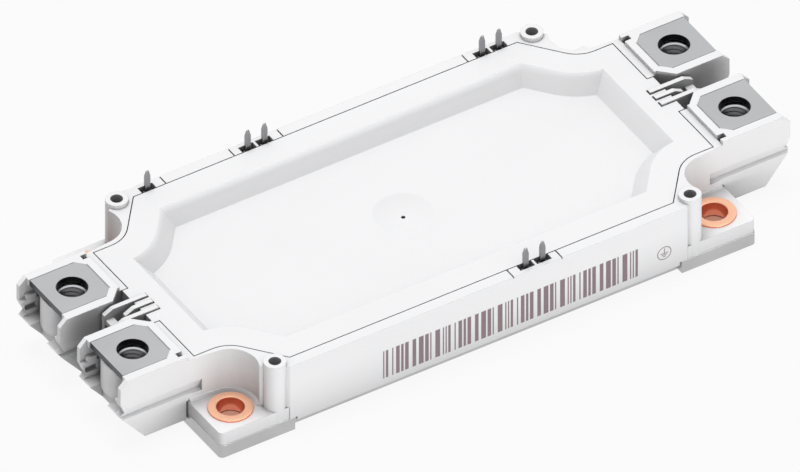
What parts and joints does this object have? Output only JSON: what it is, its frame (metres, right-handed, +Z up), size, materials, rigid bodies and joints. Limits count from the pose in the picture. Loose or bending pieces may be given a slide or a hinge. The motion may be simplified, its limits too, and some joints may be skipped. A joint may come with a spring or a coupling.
{
  "type": "igbt module",
  "caption": "Flat half-bridge power semiconductor module: metal base plate, white plastic frame with a sunk lid, screw terminals at both ends and flat control pins along the rails.",
  "frame": {"origin": "centre of the base plate's underside, which is the mounting plane", "axes": "+X along the long rails towards the phase output terminals, +Y across the module, +Z up from the heatsink through the lid"},
  "size_m": [0.1524, 0.062, 0.0205],
  "materials": {
    "white_plastic": "white moulding, slightly glossy",
    "plated_base": "nickel plate over copper, satin",
    "plated_strap": "nickel plate over copper, satin",
    "plated_pin": "bright nickel plate over copper alloy",
    "copper_sleeve": "bright copper",
    "zinc_plated_steel": "zinc plated",
    "bare_copper": "etched copper",
    "ceramic": "fired alumina, opaque",
    "solder": "dull tin solder",
    "silicon": "metallised silicon, opaque",
    "bond_wire": "drawn wire",
    "gel": "clear soft gel",
    "adhesive": "white silicone adhesive"
  },
  "bodies": {
    "root": {"back_copper_left": "bare_copper", "back_copper_middle": "bare_copper", "back_copper_right": "bare_copper", "base_plate": "plated_base", "bond_wires_left": "bond_wire", "bond_wires_middle": "bond_wire", "bond_wires_right": "bond_wire", "circuit_copper_left": "bare_copper", "circuit_copper_middle": "bare_copper", "circuit_copper_right": "bare_copper", "collector_sense_pin": "plated_pin", "diode_chips_left": "silicon", "diode_chips_middle": "silicon", "diode_chips_right": "silicon", "high_side_emitter_pin": "plated_pin", "high_side_gate_pin": "plated_pin", "housing": "white_plastic", "igbt_chips_left": "silicon", "igbt_chips_middle": "silicon", "igbt_chips_right": "silicon", "lid": "white_plastic", "low_side_emitter_pin": "plated_pin", "low_side_gate_pin": "plated_pin", "mounting_sleeve_back_left": "copper_sleeve", "mounting_sleeve_back_right": "copper_sleeve", "mounting_sleeve_front_left": "copper_sleeve", "mounting_sleeve_front_right": "copper_sleeve", "phase_link": "plated_strap", "pin_wires": "bond_wire", "power_terminal_minus": "plated_strap", "power_terminal_phase_back": "plated_strap", "power_terminal_phase_front": "plated_strap", "power_terminal_plus": "plated_strap", "sealing_adhesive": "adhesive", "silicone_gel": "gel", "substrate_ceramic_left": "ceramic", "substrate_ceramic_middle": "ceramic", "substrate_ceramic_right": "ceramic", "substrate_links": "bond_wire", "substrate_solder_left": "solder", "substrate_solder_middle": "solder", "substrate_solder_right": "solder", "temperature_sensor": "silicon", "terminal_nuts": "zinc_plated_steel", "terminal_wires": "bond_wire", "thermistor_pin_a": "plated_pin", "thermistor_pin_b": "plated_pin"}
  },
  "joints": []
}
